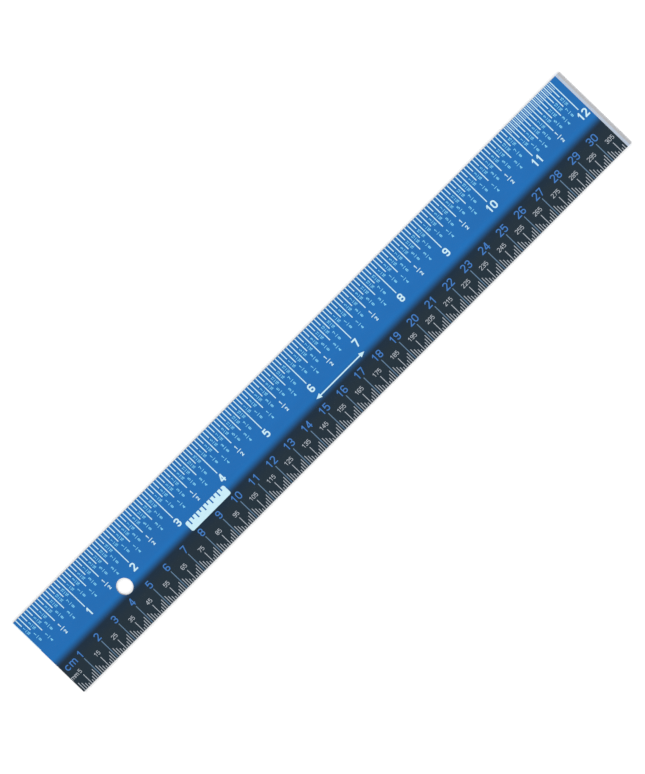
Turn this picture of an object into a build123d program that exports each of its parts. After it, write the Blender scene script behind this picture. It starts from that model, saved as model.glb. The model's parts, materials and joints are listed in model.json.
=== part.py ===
from build123d import *
from collections import namedtuple
import os

# A 12 inch / 30 centimetre steel rule.  A thin stainless blade carries two fields
# of baked enamel, blue along the inch edge and black along the metric edge, and the
# graduations and numerals are printed on the enamel in raised ink.
#
# Frame: the blade rests on Z = 0 with its printed face up.  The origin is under the
# middle of the blade, +X runs along the scales towards 12 inches, and +Y points at
# the inch edge.  Distances along the rule are measured from its zero end.

# ---- blade and enamel, millimetres ------------------------------------------------
inch = 25.4

blade_length = 310.0
blade_width = 38.1
blade_thickness = 1.0
corner_radius = 0.4
edge_round = 0.14

hole_diameter = 6.8
hole_from_zero_end = 42.6
hole_from_metric_edge = 17.5
hole_deburr = 0.1

enamel_thickness = 0.05
ink_thickness = 0.04
bare_rim = 0.16
enamel_length = 307.95
blue_width = 22.6

# ---- inch scale, measured in from the inch edge -------------------------------------
# The last inch is graduated finer than the rest, so its ranks reach further in.
inches = 12
plain_inches = 11
inch_tick_width = 0.4
fine_tick_width = 0.18

inch_tick_end = 15.2
half_tick_end = 10.9
quarter_tick_end = 10.0
eighth_tick_end = 6.75
sixteenth_tick_end = 3.5

last_half_tick_end = 14.1
last_quarter_tick_end = 12.1
last_eighth_tick_end = 10.4
last_sixteenth_tick_end = 6.9
thirty_second_tick_end = 3.7

inch_numeral_foot = 19.35
half_fraction_foot = 17.45
quarter_fraction_foot = 15.7
eighth_fraction_foot = 12.5
sixteenth_fraction_foot = 7.7

last_half_fraction_foot = 19.75
last_quarter_fraction_foot = 16.8
last_eighth_fraction_foot = 15.6
last_sixteenth_fraction_foot = 11.0

# ---- metric scale, measured in from the metric edge ---------------------------------
centimetres = 30
last_millimetre = 307
centimetre_tick_width = 0.36
millimetre_tick_width = 0.26
centimetre_tick_end = 9.1
half_centimetre_tick_end = 5.05
# Reach of a millimetre tick, by its distance from the nearest centimetre.
millimetre_tick_ends = {1: 4.1, 2: 3.15, 3: 2.15, 4: 1.3}

centimetre_numeral_foot = 9.75
millimetre_numeral_foot = 6.0
centimetre_unit_place = 4.45
millimetre_unit_place = 2.1

# ---- numeral styles: height, stroke, width of a numeral, step to the next one -------
Style = namedtuple("Style", "height stroke width step")
inch_style = Style(3.35, 0.62, 2.3, 2.5)
half_style = Style(1.6, 0.32, 1.1, 1.2)
fraction_style = Style(1.25, 0.22, 0.85, 0.95)
narrow_style = Style(1.15, 0.18, 0.665, 0.745)
centimetre_style = Style(3.15, 0.44, 2.1, 2.5)
millimetre_style = Style(1.75, 0.2, 1.15, 1.36)

# Fraction bars: length, weight, and clear distance from the bar's middle to a numeral.
Bar = namedtuple("Bar", "length weight gap")
half_bar = Bar(2.2, 0.3, 0.85)
fraction_bar = Bar(1.5, 0.2, 0.75)
narrow_bar = Bar(1.35, 0.18, 0.6)

# Lower-case letters: height as a share of the numerals', gap between two letters as a
# share of the stroke, step between two stems of an m as a share of the letter's height,
# and the angles where the stroke of a c starts and how far round it goes.
lower_case_height = 0.74
letter_gap = 0.9
stem_step = 0.58
c_start = 40
c_sweep = 280

# The shortest straight that is drawn between two quarter rounds.
least_flat = 0.01

# ---- plain devices on the middle of the rule ------------------------------------------
# A little picture of a rule, with ticks that are shares of its height, and a
# double-headed length arrow.
device_middle = 22.1
picture_length = 22.0
picture_height = 4.4
picture_place = 88.9
picture_corner = 0.8
picture_ticks = 10
picture_tick_width = 0.6
picture_long_tick = 0.5
picture_short_tick = 0.3
arrow_length = 27.0
arrow_place = 164.2
arrow_head_length = 2.4
arrow_head_width = 2.0
arrow_line = 0.5

# ---- planes the pieces stand on ---------------------------------------------------------
enamel_plane = Plane.XY.offset(blade_thickness)
ink_plane = Plane.XY.offset(blade_thickness + enamel_thickness)


def along(distance):
    """X of a point this far from the zero end."""
    return distance - blade_length / 2


def from_inch_edge(distance):
    """Y of a point this far in from the inch edge."""
    return blade_width / 2 - distance


def from_metric_edge(distance):
    """Y of a point this far in from the metric edge."""
    return distance - blade_width / 2


hole_place = (along(hole_from_zero_end), from_metric_edge(hole_from_metric_edge))


def save(piece, name):
    """Label a finished piece and write it to its own file."""
    piece.part.label = name
    export_step(piece.part, f"parts/{name}.step")


# ---- numerals ------------------------------------------------------------------------------
# Each numeral is a flat sketch of a few strokes about one skeleton, with its foot on
# Y = 0 and centred on X = 0.
Skeleton = namedtuple("Skeleton", "height stroke width bowl half_width flat foot top")


def skeleton(style):
    """The sizes that every numeral of a style is drawn from, taken along its strokes' middles."""
    bowl = (style.height - style.stroke) / 4
    half_width = (style.width - style.stroke) / 2
    foot = style.stroke / 2
    top = style.height - foot
    return Skeleton(style.height, style.stroke, style.width, bowl, half_width, half_width - bowl, foot, top)


def arch(s, crown, first, last):
    """Line over an arch, from the angle `first` on its left to the angle `last` on its right.

    The arch is round, or has a straight crown twice `flat` long between two quarter rounds.
    It is added to the line in hand, as a basin is.
    """
    if s.flat < least_flat:
        return CenterArc((0, crown - s.bowl), s.bowl, first, last - first)
    left = CenterArc((-s.flat, crown - s.bowl), s.bowl, first, 90 - first)
    right = CenterArc((s.flat, crown - s.bowl), s.bowl, 90, last - 90)
    Line(left @ 1, right @ 0)
    return right


def basin(s, floor, first, last):
    """Line under a basin, from the angle `first` on its right to the angle `last` on its left."""
    if s.flat < least_flat:
        return CenterArc((0, floor + s.bowl), s.bowl, first, last - first)
    right = CenterArc((s.flat, floor + s.bowl), s.bowl, first, -90 - first)
    left = CenterArc((-s.flat, floor + s.bowl), s.bowl, -90, last + 90)
    Line(right @ 1, left @ 0)
    return right


def eyes(s, *floors):
    """Closed bowls that stand on the given floors, added to the sketch in hand."""
    height = 2 * s.bowl + s.stroke
    width = height + 2 * s.flat
    with Locations(*[(0, floor + s.bowl) for floor in floors]):
        if s.flat < least_flat:
            Circle(height / 2)
            Circle(height / 2 - s.stroke, mode=Mode.SUBTRACT)
        else:
            SlotOverall(width, height)
            SlotOverall(width - 2 * s.stroke, height - 2 * s.stroke, mode=Mode.SUBTRACT)


def zero(s):
    inner_height = s.height - 2 * s.stroke
    inner_width = s.width - 2 * s.stroke
    with BuildSketch() as sketch:
        with Locations((0, s.height / 2)):
            SlotOverall(s.height, s.width, rotation=90)
            SlotOverall(inner_height, inner_width, rotation=90, mode=Mode.SUBTRACT)
    return sketch.sketch


def one(s):
    stem_right = 0.6 * s.bowl
    stem_left = stem_right - s.stroke
    flag_left = -1.1 * s.bowl
    flag_height = s.top - 0.8 * s.bowl
    flag_weight = 0.85 * s.stroke
    flag_root = stem_right - 0.75 * s.stroke
    with BuildSketch() as sketch:
        with BuildLine():
            Polyline(
                (stem_right, 0),
                (stem_right, s.height),
                (flag_root, s.height),
                (flag_left, flag_height),
                (flag_left, flag_height - flag_weight),
                (stem_left, flag_height),
                (stem_left, 0),
                close=True,
            )
        make_face()
    return sketch.sketch


def two(s):
    hook, neck = 170, -38
    with BuildSketch() as sketch:
        with BuildLine():
            bend = arch(s, s.top, hook, neck)
            Line(bend @ 1, (-s.half_width, s.foot))
        trace(line_width=s.stroke)
        with Locations((0, s.foot)):
            Rectangle(s.width, s.stroke)
    return sketch.sketch


def three(s):
    upper_hook, lower_hook = 165, -165
    with BuildSketch() as sketch:
        with BuildLine():
            arch(s, s.top, upper_hook, -90)
        trace(line_width=s.stroke)
        with BuildLine():
            basin(s, s.foot, 90, lower_hook)
        trace(line_width=s.stroke)
        with Locations(((s.flat - s.foot) / 2, s.height / 2)):
            Rectangle(s.flat + s.foot + s.stroke, s.stroke)
    return sketch.sketch


def four(s):
    stem = 0.5 * s.half_width
    bar = 0.28 * s.height
    slope_foot = -1.1 * s.half_width
    with BuildSketch() as sketch:
        with Locations((stem, s.height / 2)):
            Rectangle(s.stroke, s.height)
        with BuildLine():
            Line((stem, s.height), (slope_foot, bar))
        trace(line_width=s.stroke)
        with Locations((0, bar)):
            Rectangle(s.width, s.stroke)
    return sketch.sketch


def five(s):
    neck_top = -0.8 * s.half_width
    neck_foot = s.foot + 1.9 * s.bowl
    crown = s.foot + 2.5 * s.bowl
    shoulder_start, hook = 150, -160
    with BuildSketch() as sketch:
        with BuildLine():
            Polyline((s.half_width, s.top), (neck_top, s.top), (-s.half_width, neck_foot))
        trace(line_width=s.stroke)
        with BuildLine():
            shoulder = arch(s, crown, shoulder_start, 0)
            Line(shoulder @ 1, (s.half_width, s.foot + s.bowl))
            basin(s, s.foot, 0, hook)
        trace(line_width=s.stroke)
    return sketch.sketch


def six(s):
    hook = 20
    with BuildSketch() as sketch:
        with BuildLine():
            Line((-s.half_width, s.foot + s.bowl), (-s.half_width, s.top - s.bowl))
            arch(s, s.top, 180, hook)
        trace(line_width=s.stroke)
        eyes(s, s.foot)
    return sketch.sketch


def seven(s):
    stem_foot = -0.3 * s.half_width
    with BuildSketch() as sketch:
        with BuildLine():
            Line((s.half_width, s.top), (stem_foot, 0))
        trace(line_width=s.stroke)
        with Locations((0, s.top)):
            Rectangle(s.width, s.stroke)
    return sketch.sketch


def eight(s):
    with BuildSketch() as sketch:
        eyes(s, s.foot, s.top - 2 * s.bowl)
    return sketch.sketch


def nine(s):
    return six(s).rotate(Axis((0, s.height / 2, 0), (0, 0, 1)), 180)


digits = dict(zip("0123456789", (zero, one, two, three, four, five, six, seven, eight, nine)))


def numeral(symbol, style):
    """One numeral as a flat sketch, its strokes cut off at the box of its height and width."""
    s = skeleton(style)
    strokes = digits[symbol](s)
    with BuildSketch() as sketch:
        add(strokes)
        with Locations((0, s.height / 2)):
            Rectangle(s.width, s.height, mode=Mode.INTERSECT)
    return sketch.sketch


# ---- letters of the units ----------------------------------------------------------------------
def letter_width(symbol, height, stroke):
    """Overall width of a lower-case c or m."""
    if symbol == "c":
        return height
    return 2 * stem_step * height + stroke


def letter(symbol, height, stroke):
    """A lower-case c or m as a flat sketch, foot on Y = 0 and centred on X = 0."""
    step = stem_step * height
    with BuildSketch() as sketch:
        if symbol == "c":
            with BuildLine():
                CenterArc((0, height / 2), (height - stroke) / 2, c_start, c_sweep)
            trace(line_width=stroke)
        elif symbol == "m":
            with BuildLine():
                Line((-step, 0), (-step, height))
            trace(line_width=stroke)
            for middle in (-step / 2, step / 2):
                with BuildLine():
                    hump = CenterArc((middle, height - (stroke + step) / 2), step / 2, 180, -180)
                    Line(hump @ 1, (middle + step / 2, 0))
                trace(line_width=stroke)
    return sketch.sketch


def unit_sign(word, style, centre, foot):
    """A unit's letters in a row, as a flat sketch on the face of the rule."""
    height = lower_case_height * style.height
    gap = letter_gap * style.stroke
    widths = [letter_width(symbol, height, style.stroke) for symbol in word]
    left = centre - (sum(widths) + gap * (len(word) - 1)) / 2
    letters = [letter(symbol, height, style.stroke) for symbol in word]
    with BuildSketch() as sketch:
        for width, shape in zip(widths, letters):
            with Locations((along(left + width / 2), from_metric_edge(foot))):
                add(shape)
            left += width + gap
    return sketch.sketch


def numerals(words, style):
    """Numbers as a flat sketch.  Each word is (text, X of its middle, Y of its foot)."""
    places = {}
    for text, middle, foot in words:
        first = middle - (len(text) - 1) * style.step / 2
        for index, symbol in enumerate(text):
            places.setdefault(symbol, []).append((first + index * style.step, foot))
    shapes = {symbol: numeral(symbol, style) for symbol in places}
    with BuildSketch() as sketch:
        for symbol, spots in places.items():
            with Locations(*spots):
                add(shapes[symbol])
    return sketch.sketch


def fractions(marks, style, bar):
    """Stacked fractions as a flat sketch.

    Each mark is (numerator, denominator, distance along the rule, depth of the foot).
    """
    words = []
    bars = []
    for top, bottom, distance, depth in marks:
        foot = from_inch_edge(depth)
        middle = foot + style.height + bar.gap
        words.append((str(bottom), along(distance), foot))
        words.append((str(top), along(distance), middle + bar.gap))
        bars.append((along(distance), middle))
    figures = numerals(words, style)
    with BuildSketch() as sketch:
        add(figures)
        with Locations(*bars):
            Rectangle(bar.length, bar.weight)
    return sketch.sketch


# ---- graduations -----------------------------------------------------------------------------
def inch_marks(divisions, first, last):
    """Odd multiples of an inch's 1/divisions between two whole inches, with their numerators."""
    return [
        (step, whole * inch + step * inch / divisions)
        for whole in range(first, last)
        for step in range(1, divisions, 2)
    ]


def inch_ticks(distances, width, end):
    """Ticks in from the inch edge, added to the sketch in hand."""
    middle = from_inch_edge((bare_rim + end) / 2)
    with Locations(*[(along(distance), middle) for distance in distances]):
        Rectangle(width, end - bare_rim)


def metric_ticks(distances, width, end):
    """Ticks in from the metric edge, added to the sketch in hand."""
    middle = from_metric_edge((bare_rim + end) / 2)
    with Locations(*[(along(distance), middle) for distance in distances]):
        Rectangle(width, end - bare_rim)


os.makedirs("parts", exist_ok=True)

# ---- steel blade ------------------------------------------------------------------------------
# The zero end is left square, because the scales start there.  The two long edges and
# the far end are rounded over.  The hole is punched from the printed face, so that its
# burr is on the back, and is taken off there.
with BuildPart() as steel_blade:
    with BuildSketch() as outline:
        Rectangle(blade_length, blade_width)
        fillet(outline.vertices().group_by(Axis.X)[-1], radius=corner_radius)
    extrude(amount=blade_thickness)
    fillet(steel_blade.edges().filter_by(Plane.XY).sort_by(Axis.X)[2:], radius=edge_round)
    with Locations((*hole_place, blade_thickness)):
        Hole(hole_diameter / 2)
    hole_rims = steel_blade.edges().filter_by(GeomType.CIRCLE).sort_by(SortBy.RADIUS)[-2:]
    chamfer(hole_rims.sort_by(Axis.Z)[0], length=hole_deburr)
save(steel_blade, "steel_blade")

# ---- enamel fields ------------------------------------------------------------------------------
enamel_middle = along(enamel_length / 2)


def enamel_field(outer, inner):
    """Enamel between two distances from the inch edge, added to the sketch in hand."""
    with Locations((enamel_middle, from_inch_edge((outer + inner) / 2))):
        Rectangle(enamel_length, inner - outer)
    with Locations(hole_place):
        Circle(hole_diameter / 2, mode=Mode.SUBTRACT)


with BuildPart() as blue_enamel:
    with BuildSketch(enamel_plane):
        enamel_field(bare_rim, blue_width)
    extrude(amount=enamel_thickness)
save(blue_enamel, "blue_enamel")

with BuildPart() as black_enamel:
    with BuildSketch(enamel_plane):
        enamel_field(blue_width, blade_width - bare_rim)
    extrude(amount=enamel_thickness)
save(black_enamel, "black_enamel")

# ---- inch scale: ticks ------------------------------------------------------------------------
# The tick at zero is cut by the end of the rule, so only its inner half is there.
with BuildPart() as whole_inch_ticks:
    with BuildSketch(ink_plane):
        inch_ticks([whole * inch for whole in range(1, inches + 1)], inch_tick_width, inch_tick_end)
        inch_ticks([inch_tick_width / 4], inch_tick_width / 2, inch_tick_end)
    extrude(amount=ink_thickness)
save(whole_inch_ticks, "whole_inch_ticks")

# Each rank: divisions of an inch, reach in the plain inches, reach in the last inch.
tick_ranks = {
    "half_inch_ticks": (2, half_tick_end, last_half_tick_end),
    "quarter_inch_ticks": (4, quarter_tick_end, last_quarter_tick_end),
    "eighth_inch_ticks": (8, eighth_tick_end, last_eighth_tick_end),
    "sixteenth_inch_ticks": (16, sixteenth_tick_end, last_sixteenth_tick_end),
}
for name, (divisions, plain_end, last_end) in tick_ranks.items():
    plain = [distance for _, distance in inch_marks(divisions, 0, plain_inches)]
    last = [distance for _, distance in inch_marks(divisions, plain_inches, inches)]
    with BuildPart() as rank:
        with BuildSketch(ink_plane):
            inch_ticks(plain, inch_tick_width, plain_end)
            inch_ticks(last, inch_tick_width, last_end)
        extrude(amount=ink_thickness)
    save(rank, name)

thirty_seconds = [distance for _, distance in inch_marks(32, plain_inches, inches)]
with BuildPart() as thirty_second_inch_ticks:
    with BuildSketch(ink_plane):
        inch_ticks(thirty_seconds, fine_tick_width, thirty_second_tick_end)
    extrude(amount=ink_thickness)
save(thirty_second_inch_ticks, "thirty_second_inch_ticks")

# ---- inch scale: numerals and fractions -----------------------------------------------------------
inch_words = [
    (str(whole), along(whole * inch), from_inch_edge(inch_numeral_foot))
    for whole in range(1, inches + 1)
]
inch_figures = numerals(inch_words, inch_style)
with BuildPart() as inch_numerals:
    with BuildSketch(ink_plane):
        add(inch_figures)
    extrude(amount=ink_thickness)
save(inch_numerals, "inch_numerals")

# Each rank: divisions, style, bar, depth of the foot in the plain inches and in the last.
Rank = namedtuple("Rank", "divisions style bar plain_foot last_foot")
fraction_ranks = {
    "half_inch_fractions": Rank(2, half_style, half_bar, half_fraction_foot, last_half_fraction_foot),
    "quarter_inch_fractions": Rank(
        4, fraction_style, fraction_bar, quarter_fraction_foot, last_quarter_fraction_foot
    ),
    "eighth_inch_fractions": Rank(
        8, fraction_style, fraction_bar, eighth_fraction_foot, last_eighth_fraction_foot
    ),
    "sixteenth_inch_fractions": Rank(
        16, narrow_style, narrow_bar, sixteenth_fraction_foot, last_sixteenth_fraction_foot
    ),
}
for name, rank in fraction_ranks.items():
    marks = []
    for first, last, foot in ((0, plain_inches, rank.plain_foot), (plain_inches, inches, rank.last_foot)):
        for numerator, place in inch_marks(rank.divisions, first, last):
            marks.append((numerator, rank.divisions, place, foot))
    rank_figures = fractions(marks, rank.style, rank.bar)
    with BuildPart() as rank_fractions:
        with BuildSketch(ink_plane):
            add(rank_figures)
        extrude(amount=ink_thickness)
    save(rank_fractions, name)

# ---- metric scale: ticks ------------------------------------------------------------------------
whole_centimetres = [10 * mark for mark in range(1, centimetres + 1)]
with BuildPart() as centimetre_ticks:
    with BuildSketch(ink_plane):
        metric_ticks(whole_centimetres, centimetre_tick_width, centimetre_tick_end)
    extrude(amount=ink_thickness)
save(centimetre_ticks, "centimetre_ticks")

half_centimetres = range(5, last_millimetre, 10)
with BuildPart() as half_centimetre_ticks:
    with BuildSketch(ink_plane):
        metric_ticks(half_centimetres, millimetre_tick_width, half_centimetre_tick_end)
    extrude(amount=ink_thickness)
save(half_centimetre_ticks, "half_centimetre_ticks")

with BuildPart() as millimetre_ticks:
    with BuildSketch(ink_plane):
        for away, end in millimetre_tick_ends.items():
            near = (away, 10 - away)
            marks = [mark for mark in range(1, last_millimetre + 1) if mark % 10 in near]
            metric_ticks(marks, millimetre_tick_width, end)
    extrude(amount=ink_thickness)
save(millimetre_ticks, "millimetre_ticks")

# ---- metric scale: numerals and units -------------------------------------------------------------
centimetre_words = [
    (str(mark // 10), along(mark), from_metric_edge(centimetre_numeral_foot))
    for mark in whole_centimetres
]
centimetre_figures = numerals(centimetre_words, centimetre_style)
with BuildPart() as centimetre_numerals:
    with BuildSketch(ink_plane):
        add(centimetre_figures)
    extrude(amount=ink_thickness)
save(centimetre_numerals, "centimetre_numerals")

millimetre_words = [
    (str(mark), along(mark), from_metric_edge(millimetre_numeral_foot))
    for mark in half_centimetres
]
millimetre_figures = numerals(millimetre_words, millimetre_style)
with BuildPart() as millimetre_numerals:
    with BuildSketch(ink_plane):
        add(millimetre_figures)
    extrude(amount=ink_thickness)
save(millimetre_numerals, "millimetre_numerals")

centimetre_letters = unit_sign("cm", centimetre_style, centimetre_unit_place, centimetre_numeral_foot)
with BuildPart() as centimetre_unit:
    with BuildSketch(ink_plane):
        add(centimetre_letters)
    extrude(amount=ink_thickness)
save(centimetre_unit, "centimetre_unit")

millimetre_letters = unit_sign("mm", millimetre_style, millimetre_unit_place, millimetre_numeral_foot)
with BuildPart() as millimetre_unit:
    with BuildSketch(ink_plane):
        add(millimetre_letters)
    extrude(amount=ink_thickness)
save(millimetre_unit, "millimetre_unit")

# ---- plain devices ----------------------------------------------------------------------------------
# The picture of a rule is a solid bar with its own ticks, long and short in turn, left open.
picture_step = picture_length / (picture_ticks + 1)
picture_left = picture_place - picture_length / 2
picture_top = from_inch_edge(device_middle - picture_height / 2)
with BuildPart() as rule_picture:
    with BuildSketch(ink_plane):
        with Locations((along(picture_place), from_inch_edge(device_middle))):
            RectangleRounded(picture_length, picture_height, picture_corner)
        for mark in range(1, picture_ticks + 1):
            depth = picture_height * (picture_long_tick if mark % 2 else picture_short_tick)
            with Locations((along(picture_left + mark * picture_step), picture_top - depth / 2)):
                Rectangle(picture_tick_width, depth, mode=Mode.SUBTRACT)
    extrude(amount=ink_thickness)
save(rule_picture, "rule_picture")

arrow_plane = Plane((along(arrow_place), from_inch_edge(device_middle), ink_plane.origin.Z))
with BuildPart() as length_arrow:
    with BuildSketch(arrow_plane):
        Rectangle(arrow_length - 2 * arrow_head_length, arrow_line)
        with BuildLine():
            Polyline(
                (arrow_length / 2, 0),
                (arrow_length / 2 - arrow_head_length, arrow_head_width / 2),
                (arrow_length / 2 - arrow_head_length, -arrow_head_width / 2),
                close=True,
            )
        head = make_face()
        mirror(head, about=Plane.YZ)
    extrude(amount=ink_thickness)
save(length_arrow, "length_arrow")
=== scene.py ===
import json
import math
from collections import namedtuple

import bpy
import numpy as np
from mathutils import Matrix, Vector
from mathutils.geometry import delaunay_2d_cdt


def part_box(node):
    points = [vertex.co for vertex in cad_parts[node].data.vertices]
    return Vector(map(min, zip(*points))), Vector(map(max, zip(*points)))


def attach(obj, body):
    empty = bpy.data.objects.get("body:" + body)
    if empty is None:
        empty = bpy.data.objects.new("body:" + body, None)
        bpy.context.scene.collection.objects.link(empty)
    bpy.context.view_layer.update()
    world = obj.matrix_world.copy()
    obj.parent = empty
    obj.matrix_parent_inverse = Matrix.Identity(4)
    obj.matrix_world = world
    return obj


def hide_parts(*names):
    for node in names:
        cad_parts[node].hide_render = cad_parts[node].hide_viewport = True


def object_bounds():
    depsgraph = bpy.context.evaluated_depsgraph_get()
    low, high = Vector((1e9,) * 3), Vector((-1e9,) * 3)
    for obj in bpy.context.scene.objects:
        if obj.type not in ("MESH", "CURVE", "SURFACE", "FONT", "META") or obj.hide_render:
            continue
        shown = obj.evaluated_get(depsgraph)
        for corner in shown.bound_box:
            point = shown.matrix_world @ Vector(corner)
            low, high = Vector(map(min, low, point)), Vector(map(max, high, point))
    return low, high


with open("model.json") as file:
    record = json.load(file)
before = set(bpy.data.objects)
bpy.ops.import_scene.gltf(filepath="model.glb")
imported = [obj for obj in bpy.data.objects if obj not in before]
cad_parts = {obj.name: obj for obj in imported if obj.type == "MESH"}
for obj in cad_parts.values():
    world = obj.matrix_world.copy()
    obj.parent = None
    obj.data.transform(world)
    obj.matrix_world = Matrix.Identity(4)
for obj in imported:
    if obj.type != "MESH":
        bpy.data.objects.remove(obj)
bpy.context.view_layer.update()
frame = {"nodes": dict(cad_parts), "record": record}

# A 12 inch / 30 centimetre steel rule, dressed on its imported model: a brushed blade, two
# enamel fields that fade into each other, and numerals and graduations in printed ink.
#
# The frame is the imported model's: +X along the scales towards 12 inches, +Y towards the
# inch edge, +Z out of the printed face.  Outlines are worked out in millimetres, and
# meshes are made in metres.
MM = 0.001


def box_mm(node):
    """Lowest and highest corner of a CAD node, in millimetres."""
    low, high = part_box(node)
    return low / MM, high / MM


# ---- sizes ------------------------------------------------------------------------------
BLADE_LOW, BLADE_HIGH = box_mm("steel_blade")
INK_LOW, INK_HIGH = box_mm("inch_numerals")
BLUE_LOW, BLUE_HIGH = box_mm("blue_enamel")
BLACK_LOW, BLACK_HIGH = box_mm("black_enamel")
HOLE = next(mount for mount in frame["record"]["mounts"] if mount["name"] == "hang_hole")
HOLE_MIDDLE = Vector(HOLE["pos_m"][:2]) / MM
HOLE_RADIUS = HOLE["dims"]["r_mm"]

CORNER_RADIUS = 0.4
CORNER_STEPS = 8
EDGE_ROUND = 0.14
EDGE_STEPS = 6
HOLE_DEBURR = 0.1
HOLE_STEPS = 96
ZERO_END_BREAK = 0.03
ENAMEL_SOFT = 0.02
INK_SOFT = 0.014

# Chord error of a printed curve, closeness of two points that count as one, the smallest
# straight that is drawn between two quarter rounds, and the least distance of two rows.
CHORD_ERROR = 0.003
CLOSE = 1e-5
LEAST_FLAT = 0.01
ROW_GAP = 0.3

# Decimal places to which two CAD corners have to agree to be one point.
CORNER_PLACES = 4

# What delaunay_2d_cdt is asked for: the triangles inside its faces, with or without those
# that a second face takes out again.
INSIDE = 1
INSIDE_LESS_HOLES = 2

# Height, stroke and width of the numerals.
Style = namedtuple("Style", "height stroke width")
STYLES = {
    "inch_numerals": Style(3.35, 0.62, 2.3),
    "half_inch_fractions": Style(1.6, 0.32, 1.1),
    "quarter_inch_fractions": Style(1.25, 0.22, 0.85),
    "eighth_inch_fractions": Style(1.25, 0.22, 0.85),
    "sixteenth_inch_fractions": Style(1.15, 0.18, 0.665),
    "centimetre_numerals": Style(3.15, 0.44, 2.1),
    "millimetre_numerals": Style(1.75, 0.2, 1.15),
}
INCHES = 12
INCH = 25.4
CENTIMETRES = 30
CENTIMETRE = 10

# ---- flat outlines ------------------------------------------------------------------------
# A loop is a closed list of points in the XY plane, with its inside on its left.  So an
# outer loop runs anticlockwise and a hole runs clockwise.


def arc(middle, radius, first, last, steps=None):
    """Points along an arc, from one angle to another in degrees, by default as many as it needs."""
    sweep = math.radians(last - first)
    if steps is None:
        widest = 2 * math.acos(1 - CHORD_ERROR / max(radius, 2 * CHORD_ERROR))
        steps = max(2, math.ceil(abs(sweep) / widest))
    angles = math.radians(first) + sweep * np.arange(steps + 1) / steps
    return [(middle[0] + radius * math.cos(a), middle[1] + radius * math.sin(a)) for a in angles]


def rectangle(middle, width, height):
    """The four corners of a rectangle."""
    x, y = width / 2, height / 2
    return [(middle[0] + a, middle[1] + b) for a, b in ((-x, -y), (x, -y), (x, y), (-x, y))]


def ribbon(path, width):
    """Outline of an even stroke along a path, with square ends and mitred turns."""
    points = [path[0]]
    for point in path[1:]:
        if math.dist(point, points[-1]) > CLOSE:
            points.append(point)
    points = np.array(points)
    steps = np.diff(points, axis=0)
    steps /= np.linalg.norm(steps, axis=1)[:, None]
    normals = np.column_stack([-steps[:, 1], steps[:, 0]])
    turns = (normals[:-1] + normals[1:]) / (1 + (normals[:-1] * normals[1:]).sum(1))[:, None]
    sides = np.vstack([normals[:1], turns, normals[-1:]]) * width / 2
    return [tuple(p) for p in np.vstack([points + sides, (points - sides)[::-1]])]


def signed_area(loop):
    """Area inside a loop, negative where it runs clockwise."""
    x, y = np.array(loop).T
    return (x * np.roll(y, -1) - y * np.roll(x, -1)).sum() / 2


def border_loops(points, triangles):
    """Loops around a set of triangles."""
    sides = {(t[i], t[(i + 1) % 3]) for t in triangles for i in range(3)}
    following = {}
    for a, b in sorted(sides):
        if (b, a) not in sides:
            following.setdefault(a, []).append(b)
    loops = []
    while following:
        start = here = min(following)
        loop = []
        while here in following:
            loop.append(tuple(points[here]))
            ahead = following[here].pop()
            if not following[here]:
                del following[here]
            here = ahead
            if here == start:
                break
        loops.append(straightened(loop))
    return loops


def straightened(loop):
    """A loop without the points that lie on a straight line between their neighbours."""
    kept = []
    for before, point, after in zip(loop[-1:] + loop[:-1], loop, loop[1:] + loop[:1]):
        (ax, ay), (bx, by) = np.subtract(point, before), np.subtract(after, point)
        if abs(ax * by - ay * bx) > CLOSE * math.hypot(ax, ay):
            kept.append(point)
    return kept


def covered(shapes, wanted):
    """Loops around the places that `wanted` says yes to, by the numbers of the shapes there."""
    points, faces = [], []
    for shape in shapes:
        turned = shape if signed_area(shape) > 0 else shape[::-1]
        faces.append(list(range(len(points), len(points) + len(turned))))
        points += [Vector(p) for p in turned]
    made, _, triangles, _, _, sources = delaunay_2d_cdt(points, [], faces, INSIDE, CLOSE)
    return border_loops(made, [t for t, found in zip(triangles, sources) if wanted(set(found))])


def union(shapes, clip):
    """Loops around everything that the shapes cover inside the clip shape."""
    return covered([clip] + shapes, lambda found: 0 in found and len(found) > 1)


def difference(shape, hole):
    """Loops around a shape without its hole."""
    return covered([shape, hole], lambda found: found == {0})


def cad_loops(node):
    """Loops around the upper face of a flat CAD node, in millimetres."""
    mesh = frame["nodes"][node].data
    top = max(v.co.z for v in mesh.vertices)
    index, points, corner = {}, [], []
    for v in mesh.vertices:
        key = (round(v.co.x / MM, CORNER_PLACES), round(v.co.y / MM, CORNER_PLACES))
        if key not in index:
            index[key] = len(points)
            points.append(key)
        corner.append(index[key])
    flat = [
        tuple(corner[v] for v in face.vertices)
        for face in mesh.polygons
        if all(abs(mesh.vertices[v].co.z - top) < CLOSE * MM for v in face.vertices)
    ]
    return border_loops(points, flat)


def inset(loop, distance):
    """A loop moved towards its inside by an even distance."""
    points = np.array(loop)
    steps = np.roll(points, -1, axis=0) - points
    steps /= np.linalg.norm(steps, axis=1)[:, None]
    ahead = np.column_stack([-steps[:, 1], steps[:, 0]])
    behind = np.roll(ahead, 1, axis=0)
    widest_mitre = 0.3
    lengthened = np.maximum(1 + (ahead * behind).sum(1), widest_mitre)[:, None]
    return points + distance * (ahead + behind) / lengthened


def filled(loops):
    """Triangles that fill the loops, as indices into all their points in order."""
    points = [Vector(p) for loop in loops for p in loop]
    faces, first = [], 0
    for loop in loops:
        face = list(range(first, first + len(loop)))
        faces.append(face if signed_area(loop) > 0 else face[::-1])
        first += len(loop)
    made = delaunay_2d_cdt(points, [], faces, INSIDE_LESS_HOLES, 0.0)
    triangles, sources = made[2], made[3]
    return [tuple(sources[corner][0] for corner in triangle) for triangle in triangles]


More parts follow.
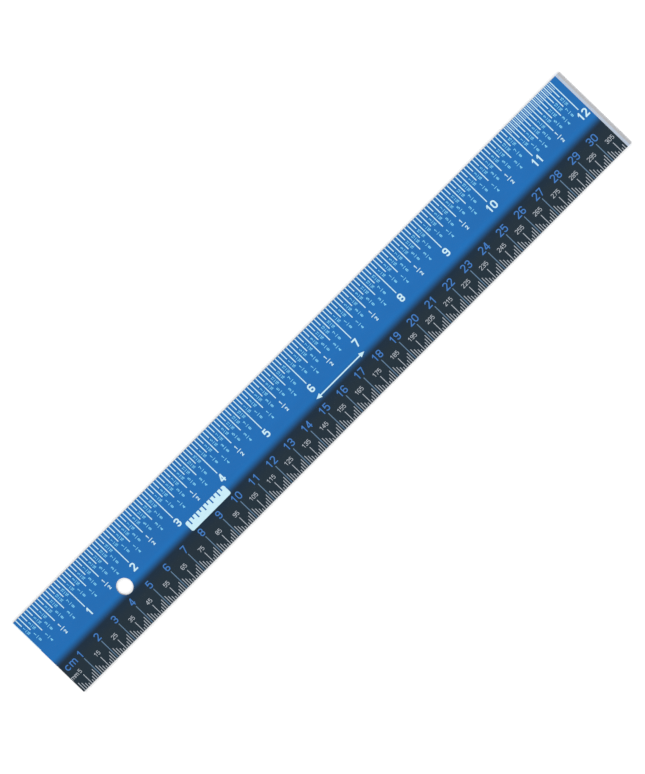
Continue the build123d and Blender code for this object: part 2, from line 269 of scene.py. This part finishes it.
def soft_plate(loops, low, high, soft, seam=None):
    """Points and faces of a flat plate whose upper edge is broken by `soft`.

    Along the seam, a line of that Y, the edge stays sharp, so that a neighbour meets it.
    """
    tops = [inset(loop, soft) for loop in loops]
    if seam is not None:
        for loop, top in zip(loops, tops):
            on_seam = np.abs(np.array(loop)[:, 1] - seam) < CLOSE
            top[on_seam, 1] = seam
    outer = np.vstack(loops)
    inner = np.vstack(tops)
    count = len(outer)
    rings = [(outer, low), (outer, high - soft), (inner, high)]
    points = np.vstack([np.column_stack([ring, np.full(count, z)]) for ring, z in rings])
    faces = [tuple(2 * count + i for i in triangle) for triangle in filled(tops)]
    faces += [tuple(reversed(triangle)) for triangle in filled(loops)]
    first = 0
    for loop in loops:
        size = len(loop)
        for i in range(size):
            a, b = first + i, first + (i + 1) % size
            faces.append((a, b, b + count, a + count))
            faces.append((a + count, b + count, b + 2 * count, a + 2 * count))
        first += size
    return points, faces


def make_piece(name, bodies, replaced, material):
    """One object of several (points, faces) bodies in millimetres, riding on the rule."""
    points, faces = [], []
    first = 0
    for body_points, body_faces in bodies:
        points.append(body_points)
        faces += [tuple(first + i for i in face) for face in body_faces]
        first += len(body_points)
    mesh = bpy.data.meshes.new(name)
    mesh.from_pydata(np.vstack(points) * MM, [], faces)
    mesh.validate()
    mesh.materials.append(material)
    piece = bpy.data.objects.new(name, mesh)
    bpy.context.scene.collection.objects.link(piece)
    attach(piece, "root")
    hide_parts(replaced)
    return piece


# ---- numerals -------------------------------------------------------------------------------
# Each numeral is a few strokes about one skeleton, foot on Y = 0 and centred on X = 0.
Skeleton = namedtuple("Skeleton", "height stroke width bowl half_width flat foot top")


def skeleton(style):
    """The sizes that every numeral of a style is drawn from."""
    bowl = (style.height - style.stroke) / 4
    half_width = (style.width - style.stroke) / 2
    foot = style.stroke / 2
    return Skeleton(*style, bowl, half_width, half_width - bowl, foot, style.height - foot)


def arch(s, crown, first, last):
    """Path over an arch, from the angle `first` on its left to `last` on its right."""
    if s.flat < LEAST_FLAT:
        return arc((0, crown - s.bowl), s.bowl, first, last)
    left = arc((-s.flat, crown - s.bowl), s.bowl, first, 90)
    return left + arc((s.flat, crown - s.bowl), s.bowl, 90, last)


def basin(s, floor, first, last):
    """Path under a basin, from the angle `first` on its right to `last` on its left."""
    if s.flat < LEAST_FLAT:
        return arc((0, floor + s.bowl), s.bowl, first, last)
    right = arc((s.flat, floor + s.bowl), s.bowl, first, -90)
    return right + arc((-s.flat, floor + s.bowl), s.bowl, -90, last)


def eye(s, floor):
    """The two halves of a closed bowl, as strokes."""
    crown = floor + 2 * s.bowl
    return [ribbon(arch(s, crown, 180, 0), s.stroke), ribbon(basin(s, floor, 0, -180), s.stroke)]


def zero(s):
    upper = arc((0, s.top - s.half_width), s.half_width, 180, 0)
    lower = arc((0, s.foot + s.half_width), s.half_width, 0, -180)
    middle = s.height / 2
    return [
        ribbon([(-s.half_width, middle), *upper, (s.half_width, middle)], s.stroke),
        ribbon([(s.half_width, middle), *lower, (-s.half_width, middle)], s.stroke),
    ]


def one(s):
    stem_right = 0.6 * s.bowl
    stem_left = stem_right - s.stroke
    flag_left = -1.1 * s.bowl
    flag_height = s.top - 0.8 * s.bowl
    flag_weight = 0.85 * s.stroke
    flag_root = stem_right - 0.75 * s.stroke
    outline = [
        (stem_right, 0),
        (stem_right, s.height),
        (flag_root, s.height),
        (flag_left, flag_height),
        (flag_left, flag_height - flag_weight),
        (stem_left, flag_height),
        (stem_left, 0),
    ]
    return [outline]


def two(s):
    hook, neck = 170, -38
    bend = arch(s, s.top, hook, neck)
    return [
        ribbon(bend + [(-s.half_width, s.foot)], s.stroke),
        rectangle((0, s.foot), s.width, s.stroke),
    ]


def three(s):
    upper_hook, lower_hook = 165, -165
    waist = s.flat + s.foot + s.stroke
    return [
        ribbon(arch(s, s.top, upper_hook, -90), s.stroke),
        ribbon(basin(s, s.foot, 90, lower_hook), s.stroke),
        rectangle(((s.flat - s.foot) / 2, s.height / 2), waist, s.stroke),
    ]


def four(s):
    stem = 0.5 * s.half_width
    bar = 0.28 * s.height
    slope_foot = -1.1 * s.half_width
    return [
        rectangle((stem, s.height / 2), s.stroke, s.height),
        ribbon([(stem, s.height), (slope_foot, bar)], s.stroke),
        rectangle((0, bar), s.width, s.stroke),
    ]


def five(s):
    neck_top = -0.8 * s.half_width
    neck_foot = s.foot + 1.9 * s.bowl
    crown = s.foot + 2.5 * s.bowl
    shoulder_start, hook = 150, -160
    roof = [(s.half_width, s.top), (neck_top, s.top), (-s.half_width, neck_foot)]
    shoulder = arch(s, crown, shoulder_start, 0)
    return [
        ribbon(roof, s.stroke),
        ribbon(shoulder + basin(s, s.foot, 0, hook), s.stroke),
    ]


def six(s):
    hook = 20
    stem = [(-s.half_width, s.foot + s.bowl)]
    return [ribbon(stem + arch(s, s.top, 180, hook), s.stroke), *eye(s, s.foot)]


def seven(s):
    stem_foot = -0.3 * s.half_width
    return [
        ribbon([(s.half_width, s.top), (stem_foot, 0)], s.stroke),
        rectangle((0, s.top), s.width, s.stroke),
    ]


def eight(s):
    return eye(s, s.foot) + eye(s, s.top - 2 * s.bowl)


def nine(s):
    return [[(-x, s.height - y) for x, y in shape] for shape in six(s)]


NUMERALS = dict(zip("0123456789", (zero, one, two, three, four, five, six, seven, eight, nine)))


def middle_of(loops):
    """Middle of the box around the loops."""
    points = np.vstack(loops)
    return (points.min(0) + points.max(0)) / 2


def numeral_plate(character, style):
    """A numeral as a soft-edged plate of ink, centred on its own box."""
    s = skeleton(style)
    loops = union(NUMERALS[character](s), rectangle((0, s.height / 2), s.width, s.height))
    points, faces = soft_plate(loops, INK_LOW.z, INK_HIGH.z, INK_SOFT)
    points[:, :2] -= middle_of(loops)
    return points, faces


Symbol = namedtuple("Symbol", "x y loop")


def in_rows(symbols):
    """Symbols row by row from the inch edge, and along each row towards 12 inches."""
    rows = []
    for symbol in sorted(symbols, key=lambda found: -found.y):
        if not rows or rows[-1][0].y - symbol.y > ROW_GAP:
            rows.append([])
        rows[-1].append(symbol)
    return [symbol for row in rows for symbol in sorted(row, key=lambda found: found.x)]


def in_reading_order(loops, words, column):
    """Outer loops of printed words, each with the character that it is, column by column.

    `column` gives a loop's column from the X of its middle.
    """
    columns = {}
    for loop in loops:
        if signed_area(loop) > 0:
            symbol = Symbol(*middle_of([loop]), loop)
            columns.setdefault(column(symbol.x), []).append(symbol)
    placed = []
    for key in sorted(columns):
        for symbol, character in zip(in_rows(columns[key]), words[key], strict=True):
            placed.append((symbol.loop, character))
    return placed


def from_zero_end(x):
    """Distance along the rule of a point."""
    return x - BLADE_LOW.x


BAR = "/"


def printed_words(node, words, column):
    """Bodies for the numerals and fraction bars of a CAD node, drawn finely in their places."""
    plates = {}
    bodies = []
    for loop, character in in_reading_order(cad_loops(node), words, column):
        if character == BAR:
            bodies.append(soft_plate([loop], INK_LOW.z, INK_HIGH.z, INK_SOFT))
            continue
        if character not in plates:
            plates[character] = numeral_plate(character, STYLES[node])
        points, faces = plates[character]
        bodies.append((points + np.append(middle_of([loop]), 0), faces))
    return bodies


# ---- node materials ---------------------------------------------------------------------------
# Light that a white sheet sends back in this studio, and that a gloss coat adds to it.
STUDIO_LEVEL = 1.22
STUDIO_GLOSS = 0.014


def to_linear(colour):
    """A display colour of 0 to 255 as linear light, with alpha."""
    shares = [c / 255 for c in colour]
    light = [c / 12.92 if c <= 0.04045 else ((c + 0.055) / 1.055) ** 2.4 for c in shares]
    return (*light, 1.0)


def painted(colour):
    """Base colour of a paint that shows as a display colour in this studio."""
    return (*[max(0.0, c - STUDIO_GLOSS) / STUDIO_LEVEL for c in to_linear(colour)[:3]], 1.0)


class Shader:
    """A material's node tree with one principled surface."""

    def __init__(self, name, **surface):
        self.material = bpy.data.materials.new(name)
        self.material.use_nodes = True
        self.tree = self.material.node_tree
        self.surface = self.tree.nodes["Principled BSDF"]
        for socket, value in surface.items():
            self.surface.inputs[socket.replace("_", " ")].default_value = value
        self.place = self.add("ShaderNodeTexCoord").outputs["Object"]

    def add(self, kind, **settings):
        made = self.tree.nodes.new(kind)
        for name, value in settings.items():
            setattr(made, name, value)
        return made

    def join(self, source, target):
        self.tree.links.new(source, target)

    def feed(self, socket, source):
        self.join(source, self.surface.inputs[socket])

    def noise(self, sizes, detail=2.0, turn=0.0, shift=0.0):
        """Noise whose grain has these sizes along X, Y and Z, in millimetres."""
        mapping = self.add("ShaderNodeMapping", vector_type="POINT")
        mapping.inputs["Location"].default_value = (shift, shift, shift)
        mapping.inputs["Rotation"].default_value = (0, 0, math.radians(turn))
        mapping.inputs["Scale"].default_value = [1 / (size * MM) for size in sizes]
        self.join(self.place, mapping.inputs["Vector"])
        texture = self.add("ShaderNodeTexNoise")
        texture.inputs["Scale"].default_value = 1.0
        texture.inputs["Detail"].default_value = detail
        self.join(mapping.outputs["Vector"], texture.inputs["Vector"])
        return texture.outputs["Fac"]

    def axis(self, letter):
        """One coordinate of the point, in metres."""
        split = self.add("ShaderNodeSeparateXYZ")
        self.join(self.place, split.inputs["Vector"])
        return split.outputs[letter]

    def spread(self, value, low, high, to_low=0.0, to_high=1.0):
        """A value in one range moved to another, and held inside it."""
        ranged = self.add("ShaderNodeMapRange", clamp=True)
        limits = {"From Min": low, "From Max": high, "To Min": to_low, "To Max": to_high}
        for socket, number in limits.items():
            ranged.inputs[socket].default_value = number
        self.join(value, ranged.inputs["Value"])
        return ranged.outputs["Result"]

    def sums(self, operation, first, second):
        """Two values added, multiplied and so on.  The second may be a plain number."""
        worked = self.add("ShaderNodeMath", operation=operation)
        self.join(first, worked.inputs[0])
        if isinstance(second, (int, float)):
            worked.inputs[1].default_value = second
        else:
            self.join(second, worked.inputs[1])
        return worked.outputs["Value"]

    def ramp(self, value, stops, change="LINEAR"):
        """Colours along a value, as {position: linear colour}, and how one goes into the next."""
        made = self.add("ShaderNodeValToRGB")
        made.color_ramp.interpolation = change
        elements = made.color_ramp.elements
        while len(elements) < len(stops):
            elements.new(0.5)
        for element, (position, colour) in zip(elements, sorted(stops.items())):
            element.position = position
            element.color = colour
        self.join(value, made.inputs["Fac"])
        return made.outputs["Color"]

    def blend(self, share, first, second):
        """Two colours blended by a share.  Each may be a socket or a colour."""
        mixed = self.add("ShaderNodeMix", data_type="RGBA")
        sockets = [s for s in mixed.inputs if s.enabled]
        for socket, value in zip(sockets, (share, first, second)):
            if isinstance(value, bpy.types.NodeSocket):
                self.join(value, socket)
            else:
                socket.default_value = value
        return next(s for s in mixed.outputs if s.enabled)

    def bump(self, height, depth, strength=1.0, below=None):
        """Bump of a depth in millimetres, on top of another bump if there is one."""
        made = self.add("ShaderNodeBump")
        made.inputs["Strength"].default_value = strength
        made.inputs["Distance"].default_value = depth * MM
        self.join(height, made.inputs["Height"])
        if below is not None:
            self.join(below, made.inputs["Normal"])
        return made.outputs["Normal"]


STEEL_BRIGHT = to_linear((206, 208, 211))
STEEL_DULL = to_linear((158, 160, 164))

# At the far end a lacquered band, next to the enamel, shows bluer and lighter than the
# bare one outside it.
LACQUER_WIDTH = 1.05
LACQUER_SOFT = 0.12
LACQUER_BRIGHT = to_linear((211, 224, 240))
LACQUER_DULL = to_linear((184, 199, 221))
BARE_BRIGHT = to_linear((210, 210, 213))
BARE_DULL = to_linear((186, 187, 190))


def brushed_steel():
    """Stainless strip brushed along its length, with faint rub marks across the brushing."""
    s = Shader("brushed_stainless_steel", Metallic=1.0)
    lines = s.noise((22, 0.11, 0.11), detail=3)
    fine = s.noise((7, 0.035, 0.035), detail=2, shift=3)
    cloud = s.noise((26, 9, 9), detail=3, shift=7)
    rubs = s.noise((0.12, 9, 9), detail=2, turn=24, shift=11)
    rub = s.spread(rubs, 0.66, 0.74)
    lines_share = 0.65
    weighed_lines = s.sums("MULTIPLY", lines, lines_share)
    streak = s.sums("ADD", weighed_lines, s.sums("MULTIPLY", fine, 1 - lines_share))
    share = s.spread(streak, 0.34, 0.66)
    tone = s.ramp(share, {0.0: STEEL_DULL, 1.0: STEEL_BRIGHT})
    lacquered = s.ramp(share, {0.0: LACQUER_DULL, 1.0: LACQUER_BRIGHT})
    bare = s.ramp(share, {0.0: BARE_DULL, 1.0: BARE_BRIGHT})
    lacquer_end = (BLUE_HIGH.x + LACQUER_WIDTH) * MM
    soft = LACQUER_SOFT * MM
    end_tone = s.blend(s.spread(s.axis("X"), lacquer_end - soft, lacquer_end + soft), lacquered, bare)
    off_the_back = s.spread(s.axis("Z"), 0.0, EDGE_ROUND * MM)
    past_enamel = s.spread(s.axis("X"), BLUE_HIGH.x * MM - soft, BLUE_HIGH.x * MM)
    tone = s.blend(s.sums("MULTIPLY", off_the_back, past_enamel), tone, end_tone)
    tone = s.blend(s.spread(cloud, 0.35, 0.75, 0.0, 0.15), tone, STEEL_DULL)
    tone = s.blend(s.sums("MULTIPLY", rub, 0.2), tone, STEEL_BRIGHT)
    roughness = s.sums("ADD", s.spread(streak, 0.3, 0.7, 0.3, 0.42), s.sums("MULTIPLY", rub, 0.08))
    s.feed("Base Color", tone)
    s.feed("Roughness", roughness)
    s.feed("Normal", s.bump(streak, 0.006, 0.5))
    return s.material


SCUFF = to_linear((200, 210, 220))


def enamel(name):
    """Baked enamel, whose blue goes over into black across the seam."""
    s = Shader(name, Specular_IOR_Level=0.2)
    lowest, highest = min(FADE), max(FADE)
    seam = BLUE_LOW.y
    across = s.spread(s.axis("Y"), (seam + lowest) * MM, (seam + highest) * MM)
    span = highest - lowest
    stops = {(y - lowest) / span: painted(shown) for y, shown in FADE.items()}
    colour = s.ramp(across, stops, change="EASE")
    peel = s.noise((0.8, 0.6, 0.6), detail=2)
    cloud = s.noise((30, 12, 12), detail=3, shift=5)
    grain = s.noise((12, 0.12, 0.12), detail=2, shift=2)
    speck = s.spread(s.noise((0.16, 0.16, 0.16), detail=1, shift=9), 0.74, 0.8)
    rub = s.spread(s.noise((6, 0.05, 0.05), detail=2, turn=-17, shift=13), 0.7, 0.78)
    colour = s.blend(s.spread(cloud, 0.35, 0.65, 0.0, 0.07), colour, (0, 0, 0, 1))
    colour = s.blend(s.sums("MULTIPLY", speck, 0.12), colour, SCUFF)
    colour = s.blend(s.sums("MULTIPLY", rub, 0.06), colour, SCUFF)
    s.feed("Base Color", colour)
    roughness = s.sums("ADD", s.spread(cloud, 0.3, 0.7, 0.3, 0.4), s.sums("MULTIPLY", rub, 0.15))
    s.feed("Roughness", roughness)
    under = s.bump(grain, 0.0015, 0.5)
    s.feed("Normal", s.bump(peel, 0.006, 0.4, below=under))
    return s.material


def ink(name, colour, worn_colour):
    """Screen-printed ink: a fine mesh grain, and colour a little thinner in places."""
    s = Shader(name, Specular_IOR_Level=0.2)
    grain = s.noise((0.07, 0.07, 0.07), detail=2)
    thin = s.noise((1.4, 1.4, 1.4), detail=4, shift=4)
    pinhole = s.spread(s.noise((0.11, 0.11, 0.11), detail=1, shift=8), 0.74, 0.82)
    thinness = s.sums("ADD", s.spread(thin, 0.45, 0.75, 0.0, 0.16), s.spread(grain, 0.4, 0.7, 0.0, 0.08))
    tone = s.blend(thinness, painted(colour), painted(worn_colour))
    tone = s.blend(s.sums("MULTIPLY", pinhole, 0.5), tone, painted(worn_colour))
    s.feed("Base Color", tone)
    s.feed("Roughness", s.spread(grain, 0.3, 0.7, 0.42, 0.58))
    s.feed("Normal", s.bump(grain, 0.006, 0.6))
    return s.material


# Display colours by distance from the seam towards the inch edge, in millimetres.  The fade
# runs between the middle two, and each field is a little bluer beside it than far away.
BLACK = (41, 54, 64)
BLACK_BY_FADE = (36, 52, 68)
BLUE_BY_FADE = (38, 115, 188)
BLUE = (40, 113, 185)
FADE = {-6.0: BLACK, -2.2: BLACK_BY_FADE, 1.9: BLUE_BY_FADE, 3.4: BLUE}
steel = brushed_steel()
blue = enamel("blue_enamel_coat")
black = enamel("black_enamel_coat")
INKS = {
    "white_ink": ink("white_screen_ink", (206, 240, 251), (164, 210, 236)),
    "pale_blue_ink": ink("pale_blue_screen_ink", (140, 222, 255), (110, 192, 242)),
    "light_grey_ink": ink("light_grey_screen_ink", (188, 196, 205), (148, 157, 169)),
    "deep_blue_ink": ink("deep_blue_screen_ink", (72, 128, 200), (58, 106, 168)),
    "slate_blue_ink": ink("slate_blue_screen_ink", (104, 134, 162), (80, 106, 132)),
}

# ---- blade ------------------------------------------------------------------------------------
# Each ring is an open path round the two long edges and the far end.  The zero end is cut
# square, so the rings start and stop on it.


def blade_ring(inset_by):
    """Path round the blade, moved in from its three rounded sides."""
    radius = CORNER_RADIUS - inset_by
    right = BLADE_HIGH.x - CORNER_RADIUS
    low, high = BLADE_LOW.y + CORNER_RADIUS, BLADE_HIGH.y - CORNER_RADIUS
    far_end = arc((right, low), radius, -90, 0, CORNER_STEPS)
    far_end += arc((right, high), radius, 0, 90, CORNER_STEPS)
    left = BLADE_LOW.x + ZERO_END_BREAK
    return [(left, BLADE_LOW.y + inset_by), *far_end, (left, BLADE_HIGH.y - inset_by)]


def hole_loop(radius):
    """The hang hole as a clockwise loop."""
    angles = -2 * math.pi * np.arange(HOLE_STEPS) / HOLE_STEPS
    return [(HOLE_MIDDLE.x + radius * math.cos(a), HOLE_MIDDLE.y + radius * math.sin(a)) for a in angles]


def edge_profile():
    """How far in and how high each ring of the blade stands, from the back to the face."""
    angles = [math.radians(90 * step / EDGE_STEPS) for step in range(EDGE_STEPS + 1)]
    lower = [(EDGE_ROUND * (1 - math.sin(a)), EDGE_ROUND * (1 - math.cos(a))) for a in angles]
    upper = [(inset_by, BLADE_HIGH.z - z) for inset_by, z in reversed(lower)]
    return lower + upper


def make_blade():
    """The steel strip, with rounded long edges and far end, and the punched hang hole."""
    rings = [(blade_ring(inset_by), z) for inset_by, z in edge_profile()]
    size = len(rings[0][0])
    bore = [
        (HOLE_RADIUS + HOLE_DEBURR, BLADE_LOW.z),
        (HOLE_RADIUS, BLADE_LOW.z + HOLE_DEBURR),
        (HOLE_RADIUS, BLADE_HIGH.z),
    ]
    points = [(x, y, z) for ring, z in rings for x, y in ring]
    points += [(x, y, z) for radius, z in bore for x, y in hole_loop(radius)]
    faces = []
    for ring in range(len(rings) - 1):
        for i in range(ring * size, ring * size + size - 1):
            faces.append((i, i + 1, i + 1 + size, i + size))
    start = len(rings) * size
    for ring in range(len(bore) - 1):
        first = start + ring * HOLE_STEPS
        for i in range(HOLE_STEPS):
            j = (i + 1) % HOLE_STEPS
            faces.append((first + i, first + j, first + j + HOLE_STEPS, first + i + HOLE_STEPS))
    rounded = len(faces)
    zero_end = [ring * size for ring in range(len(rings))]
    zero_end += [ring * size + size - 1 for ring in reversed(range(len(rings)))]
    cut = inset([points[i][1:] for i in reversed(zero_end)], ZERO_END_BREAK)[::-1]
    first = len(points)
    points += [(BLADE_LOW.x, y, z) for y, z in cut]
    for i, corner in enumerate(zero_end):
        j = (i + 1) % len(zero_end)
        faces.append((corner, zero_end[j], first + j, first + i))
    faces.append(tuple(range(first, len(points))))
    for ring, bore_ring, turn in ((0, 0, -1), (len(rings) - 1, len(bore) - 1, 1)):
        corners = [ring * size + i for i in range(size)]
        corners += [start + bore_ring * HOLE_STEPS + i for i in range(HOLE_STEPS)]
        for triangle in filled([rings[ring][0], hole_loop(bore[bore_ring][0])]):
            faces.append(tuple(corners[i] for i in triangle)[::turn])
    body = (np.array(points), faces)
    piece = make_piece("brushed_blade", [body], "steel_blade", steel)
    for polygon in piece.data.polygons[:rounded]:
        polygon.use_smooth = True
    return piece


def make_enamel(name, node, low, high, material):
    """One field of enamel, sharp along the seam where the other field meets it."""
    field = rectangle(((low.x + high.x) / 2, (low.y + high.y) / 2), high.x - low.x, high.y - low.y)
    loops = difference(field, hole_loop(HOLE_RADIUS))
    plate = soft_plate(loops, low.z, high.z, ENAMEL_SOFT, seam=BLUE_LOW.y)
    return make_piece(name, [plate], node, material)


make_blade()
make_enamel("blue_coat", "blue_enamel", BLUE_LOW, BLUE_HIGH, blue)
make_enamel("black_coat", "black_enamel", BLACK_LOW, BLACK_HIGH, black)

# ---- printed graduations and numerals ---------------------------------------------------------
SLOTS = {part["node"]: part["material_slot"] for part in frame["record"]["subparts"]}
TICK_NODES = [node for node in SLOTS if node.endswith("_ticks")]
SIGN_NODES = ["centimetre_unit", "millimetre_unit", "rule_picture", "length_arrow"]


def make_print(node, bodies):
    """A piece of print from its bodies, in the ink of its CAD node's slot."""
    return make_piece("printed_" + node, bodies, node, INKS[SLOTS[node]])


for node in TICK_NODES + SIGN_NODES:
    make_print(node, [soft_plate(cad_loops(node), INK_LOW.z, INK_HIGH.z, INK_SOFT)])


def print_words(node, words, column):
    """The numerals of a CAD node as one piece of print."""
    make_print(node, printed_words(node, words, column))


def nearest_inch(x):
    return round(from_zero_end(x) / INCH)


def nearest_centimetre(x):
    return round(from_zero_end(x) / CENTIMETRE)


def centimetre_below(x):
    return math.floor(from_zero_end(x) / CENTIMETRE)


whole_inches = {inch: str(inch) for inch in range(1, INCHES + 1)}
print_words("inch_numerals", whole_inches, nearest_inch)

FRACTION_RANKS = {
    "half_inch_fractions": 2,
    "quarter_inch_fractions": 4,
    "eighth_inch_fractions": 8,
    "sixteenth_inch_fractions": 16,
}
for node, divisions in FRACTION_RANKS.items():
    fractions = {}
    for mark in range(1, INCHES * divisions, 2):
        fractions[mark] = f"{mark % divisions}{BAR}{divisions}"

    def nearest_mark(x, divisions=divisions):
        """The odd multiple of 1/divisions of an inch that is nearest."""
        return 2 * math.floor(from_zero_end(x) * divisions / INCH / 2) + 1

    print_words(node, fractions, nearest_mark)

whole_centimetres = {mark: str(mark) for mark in range(1, CENTIMETRES + 1)}
print_words("centimetre_numerals", whole_centimetres, nearest_centimetre)
half_centimetres = {mark: str(10 * mark + 5) for mark in range(CENTIMETRES + 1)}
print_words("millimetre_numerals", half_centimetres, centimetre_below)

# ---- floor, camera and light --------------------------------------------------------------------
LOW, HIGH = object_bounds()
MIDDLE = (LOW + HIGH) / 2


def linked(name, data):
    """A new object in the scene."""
    made = bpy.data.objects.new(name, data)
    bpy.context.scene.collection.objects.link(made)
    return made


# The floor reaches this many metres each way.  It lies just under the rule, and its tone
# changes over patches of this many millimetres.
FLOOR_REACH = 6.0
FLOOR_GAP = 0.02 * MM
FLOOR_PATCH = 180
FLOOR_DULL = (0.95, 0.95, 0.95, 1)
FLOOR_BRIGHT = (0.97, 0.97, 0.97, 1)
floor_mesh = bpy.data.meshes.new("floor")
corners = [(x, y, 0.0) for x, y in rectangle((0, 0), 2 * FLOOR_REACH, 2 * FLOOR_REACH)]
floor_mesh.from_pydata(corners, [], [(0, 1, 2, 3)])
floor = linked("floor", floor_mesh)
floor.location.z = LOW.z - FLOOR_GAP
paper = Shader("pale_floor", Roughness=0.9, Specular_IOR_Level=0.1)
paper_tone = paper.spread(paper.noise((FLOOR_PATCH, FLOOR_PATCH, FLOOR_PATCH)), 0.3, 0.7)
paper.feed("Base Color", paper.ramp(paper_tone, {0.0: FLOOR_DULL, 1.0: FLOOR_BRIGHT}))
floor_mesh.materials.append(paper.material)

# The camera stands almost over the rule, 4 m up, leaning towards the far end and a little
# towards the inch edge.  The rule runs up the picture from its lower left.  Leans and the
# heading are in degrees, the lens and its sensor in millimetres, and the rest in metres.
CAMERA_DISTANCE = 4.02
LEAN_TO_FAR_END = 19.01
LEAN_TO_INCH_EDGE = 2.65
PICTURE_UP_HEADING = 42.84
LENS = 494.8
SENSOR_WIDTH = 36.0
NEAREST_SEEN = 0.1
FARTHEST_SEEN = 50.0
AIM = Vector((0.0009, -0.0014, 0.0))

leans = [math.tan(math.radians(lean)) for lean in (LEAN_TO_FAR_END, LEAN_TO_INCH_EDGE)]
back = Vector((*leans, 1)).normalized()
heading = math.radians(PICTURE_UP_HEADING)
right = Vector((math.cos(heading), math.sin(heading), 0)).cross(back).normalized()
up = back.cross(right)
camera_data = bpy.data.cameras.new("camera")
camera_data.lens = LENS
camera_data.sensor_width = SENSOR_WIDTH
camera_data.clip_start = NEAREST_SEEN
camera_data.clip_end = FARTHEST_SEEN
camera = linked("camera", camera_data)
turn = Matrix((right, up, back)).transposed().to_4x4()
camera.matrix_world = Matrix.Translation(AIM + Vector((0, 0, HIGH.z)) + back * CAMERA_DISTANCE) @ turn
bpy.context.scene.camera = camera


# Two equal softboxes stand beyond the long edges, a little towards the 12 inch end, and a
# white world fills in.  Lengths are in metres.
SOFTBOX_WATTS = 11.4
SOFTBOX_SIZE = 1.2
SOFTBOX_ALONG = 0.25
SOFTBOX_ASIDE = 1.3
SOFTBOX_UP = 1.2
WORLD_COLOUR = (1, 1, 1, 1)
WORLD_STRENGTH = 0.81


def softbox(name, place):
    """A square area light that faces the middle of the rule."""
    data = bpy.data.lights.new(name, "AREA")
    data.shape = "SQUARE"
    data.size = SOFTBOX_SIZE
    data.energy = SOFTBOX_WATTS
    lamp = linked(name, data)
    lamp.location = place
    lamp.rotation_mode = "QUATERNION"
    lamp.rotation_quaternion = (MIDDLE - Vector(place)).to_track_quat("-Z", "Y")


softbox("inch_side_softbox", (SOFTBOX_ALONG, SOFTBOX_ASIDE, SOFTBOX_UP))
softbox("metric_side_softbox", (SOFTBOX_ALONG, -SOFTBOX_ASIDE, SOFTBOX_UP))

world = bpy.data.worlds.new("studio")
world.use_nodes = True
background = world.node_tree.nodes["Background"]
background.inputs["Color"].default_value = WORLD_COLOUR
background.inputs["Strength"].default_value = WORLD_STRENGTH
bpy.context.scene.world = world
bpy.context.scene.view_settings.view_transform = "Standard"
